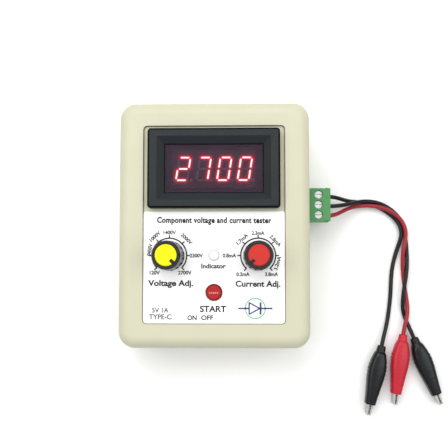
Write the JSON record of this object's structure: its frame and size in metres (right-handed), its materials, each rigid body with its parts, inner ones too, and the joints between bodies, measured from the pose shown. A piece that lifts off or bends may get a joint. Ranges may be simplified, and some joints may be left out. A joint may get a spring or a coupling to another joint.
{
  "type": "component tester",
  "caption": "Small bench tester in a cream plastic case, with a red digital meter, adjusting knobs, an indicator, a start button and a green-plugged lead with alligator clips.",
  "frame": {"origin": "centre of the case's back face, which the tester lies on", "axes": "+X to the right of the panel, +Y up the panel, +Z out of the panel"},
  "size_m": [0.1226, 0.1177, 0.0421],
  "materials": {
    "case_plastic": "fine satin moulding",
    "screw_steel": "zinc-plated",
    "label_film": "printed film",
    "bezel_plastic": "satin black",
    "window_acrylic": "smoked",
    "display_body": "matt",
    "segment_lit": "lit",
    "segment_dark": "unlit",
    "circuit_board": "solder mask",
    "white_nylon": "moulded",
    "wire_black": "soft vinyl",
    "wire_red": "soft vinyl",
    "pot_body": "moulded",
    "pot_shaft": "moulded",
    "knob_black": "satin",
    "cap_yellow": "satin",
    "cap_red": "satin",
    "switch_black": "moulded",
    "button_red": "gloss",
    "lens_white": "diffusing",
    "led_body": "moulded",
    "port_steel": "nickel",
    "terminal_green": "moulded",
    "pin_tin": "tin",
    "ferrite": "sintered",
    "coil_tape": "taped winding",
    "can_sleeve": "shrink sleeve",
    "film_red": "epoxy",
    "chip_black": "epoxy",
    "clip_steel": "nickel-plated sheet",
    "boot_black": "soft vinyl",
    "boot_red": "soft vinyl"
  },
  "bodies": {
    "case": {"upper_shell": "case_plastic", "lower_shell": "case_plastic", "case_screws": "screw_steel", "front_label": "label_film", "meter_housing": "bezel_plastic", "meter_window": "window_acrylic", "meter_display": "display_body", "meter_segments_lit": "segment_lit", "meter_segments_dark": "segment_dark", "meter_board": "circuit_board", "meter_connector": "white_nylon", "meter_wires": "wire_black", "voltage_pot": "pot_body", "current_pot": "pot_body", "start_switch": "switch_black", "indicator_lens": "lens_white", "indicator_led": "led_body", "control_board": "circuit_board", "control_board_screws": "screw_steel", "board_link": "switch_black", "main_board": "circuit_board", "main_board_screws": "screw_steel", "usb_port": "port_steel", "usb_tongue": "switch_black", "power_switch": "port_steel", "test_socket": "terminal_green", "test_socket_pins": "pin_tin", "transformer_core": "ferrite", "transformer_coil": "coil_tape", "electrolytics": "can_sleeve", "hv_capacitor": "film_red", "diodes": "chip_black", "board_chips": "chip_black"},
    "voltage_knob": {"voltage_pot_shaft": "pot_shaft", "voltage_knob": "knob_black", "voltage_knob_cap": "cap_yellow"},
    "current_knob": {"current_pot_shaft": "pot_shaft", "current_knob": "knob_black", "current_knob_cap": "cap_red"},
    "start_button": {"start_plunger": "white_nylon", "start_button": "button_red"},
    "power_slider": {"power_switch_slider": "switch_black"},
    "test_lead": {"test_plug": "terminal_green", "test_plug_screws": "screw_steel", "test_wire_left": "wire_black", "test_wire_middle": "wire_red", "test_wire_right": "wire_black", "left_clip_base": "clip_steel", "left_clip_boot": "boot_black", "middle_clip_base": "clip_steel", "middle_clip_boot": "boot_red", "right_clip_base": "clip_steel", "right_clip_boot": "boot_black", "clip_pins": "clip_steel", "clip_springs": "clip_steel"},
    "left_clip_jaw": {"left_clip_jaw": "clip_steel"},
    "middle_clip_jaw": {"middle_clip_jaw": "clip_steel"},
    "right_clip_jaw": {"right_clip_jaw": "clip_steel"}
  },
  "joints": [
    {"name": "voltage_turn", "type": "hinge", "parent": "case", "child": "voltage_knob", "pos_m": [-0.016, -0.0115, 0.03], "axis": [0, 0, -1], "range_deg": [-270, 0]},
    {"name": "current_turn", "type": "hinge", "parent": "case", "child": "current_knob", "pos_m": [0.016, -0.0115, 0.03], "axis": [0, 0, -1], "range_deg": [0, 270]},
    {"name": "start_press", "type": "slide", "parent": "case", "child": "start_button", "axis": [0, 0, -1], "range_m": [0, 0.0015], "stiffness_N_per_m": 800, "springref_m": -0.0005},
    {"name": "power_slide", "type": "slide", "parent": "case", "child": "power_slider", "axis": [1, 0, 0], "range_m": [0, 0.0022]},
    {"name": "plug_pull", "type": "slide", "parent": "case", "child": "test_lead", "axis": [1, 0, 0], "range_m": [0, 0.01]},
    {"name": "left_clip_squeeze", "type": "hinge", "parent": "test_lead", "child": "left_clip_jaw", "pos_m": [0.06167, -0.05987, 0.003], "axis": [0, 0, -1], "range_deg": [0, 25], "stiffness_Nm_per_rad": 0.05, "springref_deg": -22.92, "deforming": ["left_clip_boot"]},
    {"name": "middle_clip_squeeze", "type": "hinge", "parent": "test_lead", "child": "middle_clip_jaw", "pos_m": [0.07108, -0.05565, 0.003], "axis": [0, 0, 1], "range_deg": [0, 25], "stiffness_Nm_per_rad": 0.05, "springref_deg": -22.92, "deforming": ["middle_clip_boot"]},
    {"name": "right_clip_squeeze", "type": "hinge", "parent": "test_lead", "child": "right_clip_jaw", "pos_m": [0.08222, -0.05627, 0.003], "axis": [0, 0, -1], "range_deg": [0, 25], "stiffness_Nm_per_rad": 0.05, "springref_deg": -22.92, "deforming": ["right_clip_boot"]}
  ]
}
